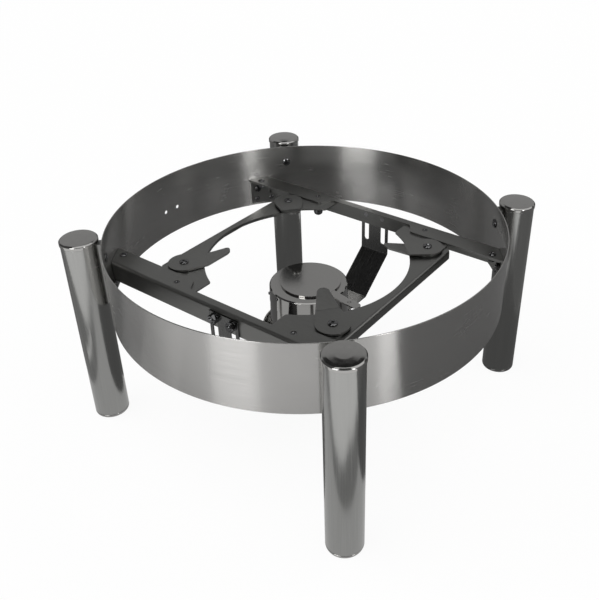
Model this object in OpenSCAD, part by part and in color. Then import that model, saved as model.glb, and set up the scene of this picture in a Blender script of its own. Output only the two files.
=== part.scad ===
// Round chafing dish stand: a steel band on four tube legs, two rails, two arms with
// swivelling pan lugs, and a height-adjustable hanger that carries a lidded fuel burner.
// Millimetres. +Z is up, +X runs along the rails, the origin is on the table under the centre.

/* [Band] */
// Outside diameter of the band
band_d = 450; // [420:1:480]
// Height of the band
band_h = 82; // [70:1:100]
// Sheet thickness of the band
band_wall = 1.2; // [0.8:0.1:2.5]
// Table to the band's lower edge
band_clear = 153.3; // [140:0.1:190]
// Diameter of the two accessory holes in the band's left side
side_hole_d = 5; // [4:0.5:8]
// Distance between the two accessory holes
side_hole_pitch = 20; // [14:1:30]
// Band's top edge down to the accessory holes
side_hole_drop = 49; // [30:1:60]

/* [Legs] */
// Outside diameter of a leg tube
leg_d = 40; // [34:1:46]
// Wall of a leg tube
leg_wall = 1.5; // [1:0.1:3]
// Gap between the band and a leg, which the spacer strip fills
leg_gap = 3.6; // [2:0.1:8]
// Width of the spacer strip
spacer_w = 11; // [8:0.5:14]
// Spacer strip's ends in from the band's edges
spacer_inset = 3; // [1:0.5:10]
// Height of a leg cap above its tube
cap_h = 6; // [4:0.5:10]
// Cap's overhang past the tube
cap_lip = 0.8; // [0:0.1:2]
// Bevel round the cap's top
cap_bevel = 1.6; // [0.5:0.1:3]
// Cap's top above the band's top edge
cap_rise = 5.2; // [1:0.1:7]
// Height of a foot plug below its tube
foot_h = 4; // [3:0.5:8]
// Rounding round the foot's lower edge
foot_round = 2; // [0.5:0.1:3]
// Length of the spigots that hold cap and foot in the tube
spigot_len = 12; // [6:1:20]
// Band's top edge down to the upper leg bolts
leg_bolt_drop = 22.3; // [15:0.1:30]
// Distance between the upper and lower leg bolts
leg_bolt_pitch = 40; // [30:1:48]

/* [Rails] */
// Distance between the outer faces of the two rails
rail_span = 283; // [270:1:300]
// Sheet thickness of the rails
rail_t = 2; // [1.5:0.1:3]
// Band's top edge down to the rails' top
rail_drop = 42; // [36:0.5:48]
// Height of a rail's web
web_h = 23.6; // [20:0.1:30]
// Width of a rail's top flange in the middle
lip_mid = 11.5; // [9:0.1:15]
// Width of a rail's top flange at its ends
lip_end = 26.7; // [22:0.1:30]
// Half length of the narrow middle stretch
step_x = 57; // [50:1:62]
// Length of the curve from the narrow to the wide stretch
step_len = 14; // [8:1:20]
// Outer bend radius of rails and arms
bend_r = 3.5; // [2.6:0.1:5]

/* [Wall brackets] */
// Sheet thickness of a wall bracket
bracket_t = 2; // [1.5:0.1:3]
// Height of a wall bracket's upright leaf
bracket_h = 34; // [28:1:36]
// Reach of a wall bracket's flat leaf from the band
bracket_reach = 16; // [14:0.5:18]
// Angle that a wall bracket's flat leaf covers on the band
bracket_sweep = 6.4; // [5:0.1:6.6]
// Angle that the foot of its upright leaf covers below the rail
foot_sweep = 9; // [8:0.1:10]
// Distance between the two rivets in the foot
foot_rivet_pitch = 20.5; // [16:0.5:24]
// Foot rivets' height below the rail's top
foot_rivet_drop = 30.1; // [28:0.1:33]
// Wall stud's height below the rail's top
stud_drop = 13.8; // [13.6:0.1:18]
// Wall stud in from the upright leaf's side edge
stud_in = 8; // [6:0.5:10]

/* [Arms and gussets] */
// Distance between the outer faces of the two arms
arm_span = 255.4; // [250:0.1:262]
// Sheet thickness of the arms
arm_t = 2; // [1.5:0.1:3]
// Height of an arm's outer flange
arm_flange_h = 10.8; // [8:0.1:16]
// Height of the hem along an arm's inner edge
arm_hem_h = 4; // [3:0.1:7]
// Diameter of the round well that arms and gussets leave free
well_d = 236; // [230:1:240]
// Sheet thickness of the gussets
gusset_t = 1.5; // [1:0.1:2.5]
// Gusset's side edge from the centre line
gusset_x = 52.7; // [45:0.1:56]
// Diameter of the posts that hold gussets and rails together
post_d = 12; // [9:0.5:14]
// Length of a post below its gusset
post_len = 23; // [12:1:30]
// Diameter of a post's flush end in the rail
post_stud_d = 6; // [4:0.5:8]
// Post's distance from the centre line along the rail
post_x = 81.5; // [78:0.5:88]

/* [Pan lugs] */
// Radius of a lug's round end
lug_r = 18.3; // [16:0.1:19]
// Sheet thickness of a lug
lug_t = 2; // [1.5:0.1:3]
// Gap between a lug's round end and the rail's flange
lug_gap = 2; // [1:0.1:4]
// Pivot bolt's distance in from an arm's outer face
pivot_in = 23.2; // [20:0.1:26]
// Pivot centre to the lug's fold
lug_neck = 25.6; // [23:0.1:28]
// Width of the lug at its fold
lug_fold_w = 26; // [22:0.5:30]
// Width of the lug's finger at its tip
lug_tip_w = 11.2; // [8:0.1:14]
// Length of the finger beyond the fold
finger_len = 28.8; // [22:0.1:34]
// Upward slope of the finger
finger_tilt = 18.7; // [10:0.1:30]
// Swing of the front left and back right lugs from the line to the centre
lug_swing = 7; // [-10:1:10]
// Diameter of the pivot bolts
pivot_d = 6; // [5:0.5:8]

/* [Hanger] */
// Width of the hanger strap
hanger_w = 40; // [36:1:48]
// Sheet thickness of the hanger strap
hanger_t = 1.5; // [1:0.1:2.5]
// Rail's top down to the strap's upper ends
hanger_end_drop = 4.3; // [3:0.1:6]
// Rail's top down to the outer folds
hanger_fold_drop = 61.8; // [58:0.1:68]
// Rail's top down to the hanger's floor
hanger_floor_drop = 100.3; // [95:0.1:115]
// Length of the hanger's floor
hanger_floor_len = 185; // [175:1:200]
// Inner radius of the hanger's folds
hanger_fold_r = 2; // [1:0.5:4]
// Rail's top down to the hanger studs
hanger_stud_drop = 11.3; // [10:0.1:12.5]
// Distance between the two hanger studs on each rail
stud_pitch = 24.8; // [20:0.1:26]
// Diameter of the hanger studs
stud_d = 6; // [5:0.5:6.5]
// Width of the hanger's slots
slot_w = 7; // [6.8:0.1:8]
// Height that the hanger can be raised by
hanger_travel = 34; // [20:1:36]

/* [Burner] */
// Outside diameter of the burner's drip tray
tray_d = 117; // [110:1:125]
// Height of the tray's wall
tray_h = 3.5; // [3:0.5:8]
// Sheet thickness of the tray
tray_t = 1; // [0.6:0.1:2]
// Burner housing's diameter at its foot
burner_foot_d = 95; // [88:1:100]
// Burner housing's diameter at its top
burner_top_d = 92; // [84:0.1:94]
// Height of the burner housing
burner_h = 61.8; // [54:0.1:75]
// Sheet thickness of the burner housing and the fuel cup
burner_t = 1; // [0.6:0.1:2]
// Height of the cover that laps over the housing's wall
cover_h = 21; // [15:1:30]
// Step from the housing's wall out to its cover
cover_step = 0.5; // [0.2:0.1:1]
// Diameter of the flame opening
flame_d = 64; // [56:1:66]
// Diameter of the snuffer lid
lid_d = 71.5; // [70:0.5:76]
// Sheet thickness of the snuffer lid
lid_t = 2; // [1:0.1:3]
// Depth of the lid's collar in the flame opening
lid_collar_h = 4; // [2:0.5:8]
// Distance that the loose lid lies off the burner's centre
lid_play = 3; // [0:0.5:3]
// Direction in plan in which the lid lies off the centre
lid_play_dir = 64; // [0:1:90]
// Width of the lid's handle
handle_w = 10.8; // [9:0.1:18]
// Sheet thickness of the handle
handle_t = 1.6; // [1:0.1:2.5]
// Centre of the lid to the handle's end
handle_reach = 82; // [76:1:88]
// Length of the handle's turned-up end
handle_end_len = 23.5; // [18:0.5:28]
// Upward slope of the handle's end
handle_end_tilt = 5; // [2:1:20]
// Diameter of the hole in the handle's end
handle_hole_d = 4.5; // [4:0.5:6]
// Hole's centre in from the handle's end
handle_hole_in = 16; // [10:0.5:18]
// Handle's direction in plan
handle_dir = -11.5; // [-45:0.5:45]
// Diameter of the fuel cup
fuel_cup_d = 76; // [66:1:80]
// Height of the fuel cup
fuel_cup_h = 48; // [35:1:50]

/* [Hidden] */
$fn = 96;

// Corner directions in plan, in the order front left, front right, back right, back left
front_left = [-1, -1];
front_right = [1, -1];
back_right = [1, 1];
back_left = [-1, 1];
corners = [front_left, front_right, back_right, back_left];

// Clearances
fit_gap = 0.3;      // between a rail's end and the band
run_gap = 0.05;     // radial and axial, round a pivot bolt
slide_gap = 0.2;    // either side of the sliding hanger
hole_gap = 0.2;     // radial, round a bolt in its hole
skin_gap = 0.1;     // between a flat head and a curved wall
eps = 0.01;

// Levels
band_top = band_clear + band_h;
leg_top = band_top + cap_rise - cap_h;
rail_top = band_top - rail_drop;
gusset_top = rail_top - rail_t;
arm_top = gusset_top - gusset_t;
arm_bottom = arm_top - arm_t;
washer_t = 0.8;
lug_z = gusset_top + washer_t + run_gap;
hanger_floor = rail_top - hanger_floor_drop;
burner_z = hanger_floor + tray_t;
housing_top = burner_z + burner_h;

// Plan positions
band_r = band_d / 2;
band_in = band_r - band_wall;
leg_r = leg_d / 2;
leg_at = band_r + leg_gap + leg_r;
rail_y = rail_span / 2;
web_in = rail_y - rail_t;
lip_mid_y = rail_y - lip_mid;
lip_end_y = rail_y - lip_end;
post_y = web_in - post_d / 2 - 5;
arm_x = arm_span / 2;
well_r = well_d / 2;
pivot_x = arm_x - pivot_in;
pivot_y = lip_end_y - lug_gap - lug_r;
pivot_pad = lug_r - 2.3;
arm_end_y = lip_end_y + 4;
arm_chamfer = 12;
lug_dir = 180 + atan2(pivot_y, pivot_x);

// Burner's base inside its shell
base_raise = 3;
base_rim_h = 8;

// Fasteners
bolt_d = 6;
small_d = 5;
rivet_d = 4;
nut_grip = 1.65;    // nut's width across flats over the bolt's diameter
nut_high = 0.8;     // nut's height over the bolt's diameter
head_wide = 1.75;   // button head's diameter over the bolt's diameter
head_high = 0.34;   // button head's height over the bolt's diameter
head_dome = 1.8;    // radius of the head's dome over the head's radius
tail = 1.5;         // thread beyond a nut

// Bracket's middle on the band, one clearance inside the web; its foot starts at the same side edge
bracket_mid = asin((web_in - 1) / band_in) - bracket_sweep / 2;
bracket_bolt_r = band_in - bracket_reach * 0.66;
bracket_side = -bracket_sweep / 2;
foot_top = rail_top - web_h - 0.5;
foot_mid = bracket_side + foot_sweep / 2;
stud_turn = bracket_side + stud_in / band_in * 180 / PI;
foot_rivet_turn = foot_rivet_pitch / 2 / band_in * 180 / PI;

// Rivets on the burner's cover: direction in plan and distance below the top
cover_rivets = [[222, 12], [255, 5]];

function unit(v) = v / norm(v);
function left_of(v) = [-v[1], v[0]];
function turned(a) = [cos(a), sin(a)];
function wrapped(a) = a > 180 ? a - 360 : a < -180 ? a + 360 : a;

// Points of the arc that rounds corner b between a and c, or b itself where r is 0
function corner_arc(a, b, c, r, n = 6) =
    let (d1 = unit(a - b), d2 = unit(c - b))
    let (half = acos(d1 * d2) / 2)
    let (centre = b + unit(d1 + d2) * r / max(sin(half), eps))
    let (p1 = b + d1 * r / max(tan(half), eps) - centre, p2 = b + d2 * r / max(tan(half), eps) - centre)
    let (a1 = atan2(p1[1], p1[0]), sweep = wrapped(atan2(p2[1], p2[0]) - a1))
    r == 0 ? [b] : [for (i = [0:n]) centre + r * turned(a1 + sweep * i / n)];

// Closed outline with each corner rounded by its own radius
function rounded(p, radii) =
    let (n = len(p))
    [for (i = [0:n - 1]) each corner_arc(p[(i + n - 1) % n], p[i], p[(i + 1) % n], radii[i])];

// One face of a folded strip: the path moved sideways, with mitred corners
function moved_path(p, o) =
    let (n = len(p), d = [for (i = [0:n - 2]) unit(p[i + 1] - p[i])])
    [for (i = [0:n - 1])
        let (m1 = left_of(d[max(i - 1, 0)]), m2 = left_of(d[min(i, n - 2)]))
        p[i] + o * (m1 + m2) / (1 + m1 * m2)];

// Side to which the path turns at point i: 1 left, -1 right, 0 at an end
function turn_side(p, i) =
    i == 0 || i == len(p) - 1 ? 0 : sign((p[i] - p[i - 1]) * -left_of(p[i + 1] - p[i]));

// Closed outline of a strip of thickness t folded along a path, with inner bend radius r
function folded_strip(p, t, r) =
    let (n = len(p), s = [for (i = [0:n - 1]) turn_side(p, i)])
    let (left = moved_path(p, t / 2), right = moved_path(p, -t / 2))
    let (left_radii = [for (i = [0:n - 1]) s[i] == 0 ? 0 : s[i] > 0 ? r : r + t])
    let (right_radii = [for (i = [0:n - 1]) s[i] == 0 ? 0 : s[i] > 0 ? r + t : r])
    rounded(
        concat(left, [for (i = [n - 1:-1:0]) right[i]]),
        concat(left_radii, [for (i = [n - 1:-1:0]) right_radii[i]])
    );

// Copies from the back right corner to the corner given
module in_corner(c) {
    mirror([c[0] < 0 ? 1 : 0, 0, 0])
        mirror([0, c[1] < 0 ? 1 : 0, 0])
            children();
}

// Local +X points outwards through a leg's centre line
module at_leg(c) {
    rotate([0, 0, atan2(c[1], c[0])])
        children();
}

// A cylinder along local +X that starts at x
module along_x(d, x, length) {
    translate([x, 0, 0])
        rotate([0, 90, 0])
            cylinder(d = d, h = length);
}

// The material outside a bend of radius r, along local +Y, in the corner x > 0, z > 0 of the origin
module bend_waste(r, length) {
    rotate([90, 0, 0])
        translate([-r, -r, -length / 2])
            linear_extrude(height = length)
                difference() {
                    square([r + 1, r + 1]);
                    circle(r = r);
                }
}

// Button head with a cross recess, seat at z = 0, pointing up
module button_head(d) {
    head_r = head_wide * d / 2;
    high = head_high * d;
    recess_w = d / 4;
    difference() {
        rotate_extrude()
            intersection() {
                square([head_r, high]);
                translate([0, high - head_r * head_dome])
                    circle(r = head_r * head_dome);
            }
        for (turn = [0, 90])
            rotate([0, 0, turn])
                translate([-recess_w * 2, -recess_w / 2, high * 0.4])
                    cube([recess_w * 4, recess_w, high]);
    }
}

// Hexagon nut, seat at z = 0, pointing up, with a plain bore round the thread
module hex_nut(d) {
    difference() {
        cylinder(d = nut_grip * d / cos(30), h = nut_high * d, $fn = 6);
        translate([0, 0, -eps])
            cylinder(d = d + 2 * eps, h = nut_high * d + 2 * eps);
    }
}

module ring_band() {
    color("gainsboro")
        difference() {
            translate([0, 0, band_clear])
                cylinder(r = band_r, h = band_h, $fn = 180);
            translate([0, 0, band_clear - 1])
                cylinder(r = band_in, h = band_h + 2, $fn = 180);
            for (c = corners)
                at_leg(c)
                    leg_bolt_axes()
                        along_x(bolt_d + 2 * hole_gap, band_in - 2, band_wall + 4);
            for (side = [-1, 1])
                translate([0, side * side_hole_pitch / 2, band_top - side_hole_drop])
                    rotate([0, 180, 0])
                        along_x(side_hole_d, band_in - 4, band_wall + 8);
        }
}

module leg_bolt_axes() {
    for (i = [0, 1])
        translate([0, 0, band_top - leg_bolt_drop - i * leg_bolt_pitch])
            children();
}

module leg_tube(c) {
    color("silver")
        at_leg(c)
            difference() {
                translate([leg_at, 0, foot_h])
                    cylinder(d = leg_d, h = leg_top - foot_h);
                translate([leg_at, 0, foot_h - 1])
                    cylinder(d = leg_d - 2 * leg_wall, h = leg_top - foot_h + 2);
                leg_bolt_axes()
                    along_x(bolt_d + 2 * hole_gap, band_r + leg_gap - 2, leg_wall + 6);
            }
}

// Turned outline: spigot in the tube, flat lip on the tube's end, bevelled and gently domed top
module leg_cap(c) {
    rim = leg_r + cap_lip;
    spigot = leg_r - leg_wall - hole_gap;
    dome = 0.6;
    color("whitesmoke")
        at_leg(c)
            translate([leg_at, 0, leg_top])
                rotate_extrude()
                    polygon([
                        [0, -spigot_len], [spigot - 1, -spigot_len], [spigot, -spigot_len + 1], [spigot, 0],
                        [rim, 0], [rim, cap_h - cap_bevel - dome], [rim - cap_bevel, cap_h - dome],
                        for (k = [1:4]) [(rim - cap_bevel) * cos(90 * k / 4), cap_h - dome * (1 - sin(90 * k / 4))]
                    ]);
}

module leg_foot(c) {
    spigot = leg_r - leg_wall - hole_gap;
    color("dimgray")
        at_leg(c)
            translate([leg_at, 0, 0])
                rotate_extrude()
                    union() {
                        translate([0, foot_h - eps])
                            square([spigot, spigot_len + eps]);
                        translate([0, foot_round])
                            square([leg_r, foot_h - foot_round]);
                        square([leg_r - foot_round, foot_h]);
                        translate([leg_r - foot_round, foot_round])
                            circle(r = foot_round, $fn = 32);
                    }
}

// Upright strip whose two faces follow the band and the tube
module leg_spacer(c) {
    color("darkgray")
        at_leg(c)
            difference() {
                translate([band_r - 1, -spacer_w / 2, band_clear + spacer_inset])
                    cube([leg_gap + 4, spacer_w, band_h - 2 * spacer_inset]);
                translate([0, 0, band_clear])
                    cylinder(r = band_r, h = band_h, $fn = 180);
                translate([leg_at, 0, band_clear])
                    cylinder(d = leg_d, h = band_h);
                leg_bolt_axes()
                    along_x(bolt_d + 2 * hole_gap, band_r - 2, leg_gap + 8);
            }
}

// Distance from a tube's centre line at which a nut's corners meet the tube's inner wall
function nut_seat() =
    sqrt(pow(leg_r - leg_wall, 2) - pow(nut_grip * bolt_d / cos(30) / 2, 2)) - skin_gap;

module leg_bolts() {
    seat = band_in - skin_gap;
    nut_end = leg_at - nut_seat() + nut_high * bolt_d + tail;
    color("slategray")
        for (c = corners)
            at_leg(c)
                leg_bolt_axes()
                    union() {
                        along_x(bolt_d, seat - eps, nut_end - seat);
                        translate([seat, 0, 0])
                            rotate([0, -90, 0])
                                button_head(bolt_d);
                    }
}

module leg_nuts() {
    color("slategray")
        for (c = corners)
            at_leg(c)
                leg_bolt_axes()
                    translate([leg_at - nut_seat(), 0, 0])
                        rotate([0, 90, 0])
                            hex_nut(bolt_d);
}

// Half of the flange's inner edge, from the middle out to the wide end
function lip_edge(n = 12) = [
    for (i = [0:n]) [step_x + step_len * i / n, lip_mid_y - (lip_mid_y - lip_end_y) * (1 - cos(180 * i / n)) / 2]
];

module lip_outline() {
    edge = lip_edge();
    flipped = [for (i = [len(edge) - 1:-1:0]) [-edge[i][0], edge[i][1]]];
    polygon(concat(
        [[band_in, rail_y], [-band_in, rail_y], [-band_in, lip_end_y]],
        flipped, edge,
        [[band_in, lip_end_y]]
    ));
}

// Angle section: upright outer web and inward top flange that widens in a soft step
module back_rail() {
    difference() {
        intersection() {
            union() {
                translate([0, 0, rail_top - rail_t])
                    linear_extrude(height = rail_t)
                        lip_outline();
                translate([-band_in, web_in, rail_top - web_h])
                    cube([2 * band_in, rail_t, web_h]);
            }
            translate([0, 0, rail_top - web_h - 1])
                cylinder(r = band_in - fit_gap, h = web_h + 2, $fn = 180);
        }
        translate([0, rail_y, rail_top])
            rotate([0, 0, 90])
                bend_waste(bend_r, 2 * band_in);
        for (side = [-1, 1]) {
            translate([side * post_x, post_y, rail_top - rail_t - 1])
                cylinder(d = post_stud_d + 2 * hole_gap, h = rail_t + 2);
            rotate([0, 0, 90 + side * (90 - bracket_mid)])
                translate([bracket_bolt_r, 0, rail_top - rail_t - 1])
                    cylinder(d = small_d + 2 * hole_gap, h = rail_t + 2);
            translate([side * stud_pitch / 2, 0, rail_top - hanger_stud_drop])
                rotate([0, 0, 90])
                    along_x(stud_d + 2 * eps, web_in - 2, rail_t + 4);
        }
    }
}

module rail_back() {
    color("darkgray")
        back_rail();
}

module rail_front() {
    color("darkgray")
        mirror([0, 1, 0])
            back_rail();
}

// Local +X points outwards through the middle of the back right bracket
module at_bracket(c) {
    in_corner(c)
        rotate([0, 0, bracket_mid])
            children();
}

// Angle bracket swept along the band: one leaf under the rail's flange, one on the band,
// whose foot widens below the rail's web
module wall_bracket(c) {
    leaf_top = rail_top - rail_t;
    seat = band_in - eps;
    color("gray")
        difference() {
            at_bracket(c)
                difference() {
                    union() {
                        rotate([0, 0, bracket_side])
                            rotate_extrude(angle = bracket_sweep)
                                polygon([
                                    [seat, leaf_top], [seat, leaf_top - bracket_h],
                                    [band_in - bracket_t, leaf_top - bracket_h], [band_in - bracket_t, leaf_top - bracket_t],
                                    [band_in - bracket_reach, leaf_top - bracket_t], [band_in - bracket_reach, leaf_top]
                                ]);
                        rotate([0, 0, bracket_side])
                            rotate_extrude(angle = foot_sweep)
                                translate([band_in - bracket_t, leaf_top - bracket_h])
                                    square([bracket_t - eps, foot_top - leaf_top + bracket_h]);
                    }
                    translate([bracket_bolt_r, 0, leaf_top - bracket_t - 1])
                        cylinder(d = small_d + 2 * hole_gap, h = bracket_t + 2);
                    at_wall_stud()
                        along_x(small_d + 2 * hole_gap, band_in - bracket_t - 2, bracket_t + 4);
                    at_foot_rivets()
                        along_x(rivet_d, band_in - bracket_t - 2, bracket_t + 4);
                }
            in_corner(c)
                translate([0, 0, leaf_top - bracket_t - 1])
                    cube([band_r, lip_end_y + 1, bracket_t + 2]);
        }
}

module at_wall_stud() {
    rotate([0, 0, stud_turn])
        translate([0, 0, rail_top - stud_drop])
            children();
}

module at_foot_rivets() {
    for (side = [-1, 1])
        rotate([0, 0, foot_mid + side * foot_rivet_turn])
            translate([0, 0, rail_top - foot_rivet_drop])
                children();
}

module bracket_bolts() {
    grip = rail_t + bracket_t + nut_high * small_d + tail;
    color("slategray")
        for (c = corners)
            at_bracket(c)
                translate([bracket_bolt_r, 0, rail_top])
                    union() {
                        button_head(small_d);
                        translate([0, 0, -grip])
                            cylinder(d = small_d, h = grip + eps);
                    }
}

module bracket_nuts() {
    color("slategray")
        for (c = corners)
            at_bracket(c)
                translate([bracket_bolt_r, 0, rail_top - rail_t - bracket_t])
                    mirror([0, 0, 1])
                        hex_nut(small_d);
}

// Welded studs and foot rivets: the outer ends follow the band's inner wall
module wall_studs() {
    reach = bracket_t + nut_high * small_d + tail;
    head = 1.2;
    color("slategray")
        for (c = corners)
            at_bracket(c) {
                intersection() {
                    at_wall_stud()
                        along_x(small_d, band_in - reach, reach + 1);
                    inside_band();
                }
                at_foot_rivets()
                    union() {
                        intersection() {
                            along_x(rivet_d - 2 * eps, band_in - bracket_t - skin_gap - eps, bracket_t + 1);
                            inside_band();
                        }
                        translate([band_in - bracket_t - skin_gap, 0, 0])
                            rotate([0, -90, 0])
                                cylinder(d1 = rivet_d * 1.8, d2 = rivet_d * 1.3, h = head);
                    }
            }
}

module inside_band() {
    translate([0, 0, -band_h])
        cylinder(r = band_in, h = 4 * band_h, $fn = 180);
}

module wall_stud_nuts() {
    color("slategray")
        for (c = corners)
            at_bracket(c)
                at_wall_stud()
                    translate([band_in - bracket_t - skin_gap, 0, 0])
                        rotate([0, -90, 0])
                            hex_nut(small_d);
}

// Channel-shaped arm: flat top, tall outer flange, low hem round the well
module right_arm() {
    inner_x = pivot_x - pivot_pad;
    difference() {
        union() {
            translate([0, 0, arm_bottom])
                linear_extrude(height = arm_t)
                    polygon([
                        [inner_x, -arm_end_y], [arm_x - arm_chamfer, -arm_end_y],
                        [arm_x, arm_chamfer - arm_end_y], [arm_x, arm_end_y - arm_chamfer],
                        [arm_x - arm_chamfer, arm_end_y], [inner_x, arm_end_y]
                    ]);
            translate([arm_x - arm_t, arm_chamfer - arm_end_y, arm_top - arm_flange_h])
                cube([arm_t, 2 * (arm_end_y - arm_chamfer), arm_flange_h]);
            intersection() {
                translate([0, 0, arm_top - arm_hem_h])
                    cylinder(r = well_r + arm_t, h = arm_hem_h, $fn = 180);
                translate([inner_x, -hem_y(), arm_top - arm_hem_h])
                    cube([well_r, 2 * hem_y(), arm_hem_h]);
            }
        }
        translate([0, 0, arm_top - arm_flange_h - 1])
            cylinder(r = well_r, h = arm_flange_h + 2, $fn = 180);
        translate([arm_x, 0, arm_top])
            bend_waste(bend_r, 2 * arm_end_y);
        for (side = [-1, 1])
            translate([pivot_x, side * pivot_y, arm_bottom - 1])
                cylinder(d = pivot_d + 2 * hole_gap, h = arm_t + 2);
    }
}

// The hem stops short of the pivot's pad
function hem_y() = pivot_y - pivot_pad - 14;

module arm_right() {
    color("silver")
        right_arm();
}

module arm_left() {
    color("silver")
        mirror([1, 0, 0])
            right_arm();
}

// Corner plate under the rail's flange: round pad at the pivot, concave edge round the well
module gusset(c) {
    soft = 4;
    soft_x = gusset_x + soft;
    soft_y = sqrt(pow(well_r + soft, 2) - pow(soft_x, 2));
    touch = [soft_x, soft_y] * well_r / (well_r + soft);
    color("darkgray")
        in_corner(c)
            translate([0, 0, arm_top])
                linear_extrude(height = gusset_t)
                    difference() {
                        union() {
                            translate([gusset_x, pivot_y])
                                square([pivot_x + pivot_pad - gusset_x, web_in - fit_gap - pivot_y]);
                            translate([gusset_x, pivot_y - pivot_pad])
                                square([pivot_x - gusset_x, pivot_pad + 1]);
                            translate([pivot_x, pivot_y])
                                circle(r = pivot_pad);
                        }
                        circle(r = well_r, $fn = 180);
                        difference() {
                            polygon([
                                [gusset_x - 1, soft_y], [soft_x, soft_y], touch,
                                [touch[0], pivot_y - pivot_pad - 1], [gusset_x - 1, pivot_y - pivot_pad - 1]
                            ]);
                            translate([soft_x, soft_y])
                                circle(r = soft);
                        }
                        translate([pivot_x, pivot_y])
                            circle(d = pivot_d + 2 * hole_gap);
                        translate([post_x, post_y])
                            circle(d = post_stud_d + 2 * hole_gap);
                    }
}

// Turned post with a domed end; its thin neck is riveted flush into the rail
module gusset_posts() {
    dome_r = post_d / 2 * 1.1;
    color("slategray")
        for (c = corners)
            in_corner(c)
                translate([post_x, post_y, arm_top])
                    union() {
                        rotate_extrude()
                            intersection() {
                                translate([0, -post_len])
                                    square([post_d / 2, post_len]);
                                union() {
                                    translate([0, dome_r - post_len])
                                        circle(r = dome_r);
                                    translate([0, dome_r - post_len])
                                        square([post_d / 2, post_len]);
                                }
                            }
                        translate([0, 0, -eps])
                            cylinder(d = post_stud_d, h = gusset_t + rail_t + eps);
                    }
}

// Plan of a lug's neck and finger along local +X: straight off the round end, then tapering
module lug_plan() {
    fold_half = lug_fold_w / 2;
    tip_half = lug_tip_w / 2;
    tip_round = 1.2;
    tip_x = lug_neck + finger_len * cos(finger_tilt);
    off_circle = atan2(fold_half, lug_neck) + acos(lug_r / norm([lug_neck, fold_half]));
    polygon(rounded(
        [
            [0, 0], lug_r * turned(off_circle), [lug_neck, fold_half], [tip_x, tip_half],
            [tip_x, -tip_half], [lug_neck, -fold_half], lug_r * turned(-off_circle)
        ],
        [0, 0, 1, tip_half * tip_round, tip_half * tip_round, 1, 0]
    ));
}

// Swivelling lug: flat round end on the bolt and a finger folded up beyond the neck
module pan_lug(c) {
    bend = 3;
    path = [
        [-1, lug_t / 2], [lug_neck, lug_t / 2],
        [lug_neck, lug_t / 2] + (finger_len + lug_t) * turned(finger_tilt)
    ];
    color("lightgray")
        in_corner(c)
            translate([pivot_x, pivot_y, lug_z])
                rotate([0, 0, lug_dir + (c[0] * c[1] > 0 ? lug_swing : 0)])
                    difference() {
                        union() {
                            cylinder(r = lug_r, h = lug_t);
                            intersection() {
                                rotate([90, 0, 0])
                                    translate([0, 0, -lug_r - 1])
                                        linear_extrude(height = 2 * lug_r + 2)
                                            polygon(folded_strip(path, lug_t, bend));
                                translate([0, 0, -1])
                                    linear_extrude(height = finger_len)
                                        lug_plan();
                            }
                        }
                        translate([0, 0, -1])
                            cylinder(d = pivot_d + 2 * run_gap, h = lug_t + 2);
                    }
}

module at_pivots() {
    for (c = corners)
        in_corner(c)
            translate([pivot_x, pivot_y, 0])
                children();
}

module pivot_bolts() {
    head_z = lug_z + lug_t + run_gap;
    tip_z = arm_bottom - nut_high * pivot_d - tail;
    color("slategray")
        at_pivots()
            union() {
                translate([0, 0, tip_z])
                    cylinder(d = pivot_d, h = head_z - tip_z + eps);
                translate([0, 0, head_z])
                    button_head(pivot_d);
            }
}

module pivot_washers() {
    color("slategray")
        at_pivots()
            translate([0, 0, gusset_top])
                difference() {
                    cylinder(d = 2.2 * pivot_d, h = washer_t);
                    translate([0, 0, -1])
                        cylinder(d = pivot_d + 2 * hole_gap, h = washer_t + 2);
                }
}

module pivot_nuts() {
    color("slategray")
        at_pivots()
            translate([0, 0, arm_bottom])
                mirror([0, 0, 1])
                    hex_nut(pivot_d);
}

// U-shaped strap: slotted ends outside the rails, sloping sides, flat floor
module hanger_strap() {
    end_y = rail_y + slide_gap + hanger_t / 2;
    floor_y = hanger_floor_len / 2;
    floor_z = hanger_floor - hanger_t / 2;
    half = [
        [floor_y, floor_z], [end_y, rail_top - hanger_fold_drop], [end_y, rail_top - hanger_end_drop]
    ];
    path = concat([for (i = [2:-1:0]) [-half[i][0], half[i][1]]], half);
    slot_top = rail_top - hanger_stud_drop - slide_gap;
    color("dimgray")
        difference() {
            rotate([90, 0, 90])
                translate([0, 0, -hanger_w / 2])
                    linear_extrude(height = hanger_w)
                        polygon(folded_strip(path, hanger_t, hanger_fold_r));
            for (side_y = [-1, 1], side_x = [-1, 1])
                translate([side_x * stud_pitch / 2, side_y * end_y, 0])
                    rotate([90, 0, 0])
                        translate([0, 0, -hanger_t])
                            union() {
                                for (drop = [0, hanger_travel])
                                    translate([0, slot_top - drop, 0])
                                        cylinder(d = slot_w, h = 2 * hanger_t);
                                translate([-slot_w / 2, slot_top - hanger_travel, 0])
                                    cube([slot_w, hanger_travel, 2 * hanger_t]);
                            }
            rivet_axes()
                translate([0, 0, hanger_floor - hanger_t - 1])
                    cylinder(d = rivet_d, h = hanger_t + 2);
        }
}

module rivet_axes() {
    for (side = [-1, 1])
        translate([0, side * fuel_cup_d / 3, 0])
            children();
}

// Local +X points outwards along each hanger stud
module at_hanger_studs() {
    for (side_y = [-1, 1], side_x = [-1, 1])
        translate([side_x * stud_pitch / 2, 0, rail_top - hanger_stud_drop])
            rotate([0, 0, side_y * 90])
                children();
}

hanger_washer_y = rail_y + hanger_t + 2 * slide_gap;
hanger_washer_t = 1;

// Studs pressed flush into the inner face of each web
module hanger_studs() {
    reach = hanger_washer_y + hanger_washer_t + nut_high * stud_d + tail;
    chamfer = 0.6;
    color("slategray")
        at_hanger_studs()
            rotate([0, 90, 0])
                rotate_extrude()
                    polygon([
                        [0, web_in], [stud_d / 2, web_in], [stud_d / 2, reach - chamfer],
                        [stud_d / 2 - chamfer, reach], [0, reach]
                    ]);
}

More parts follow.
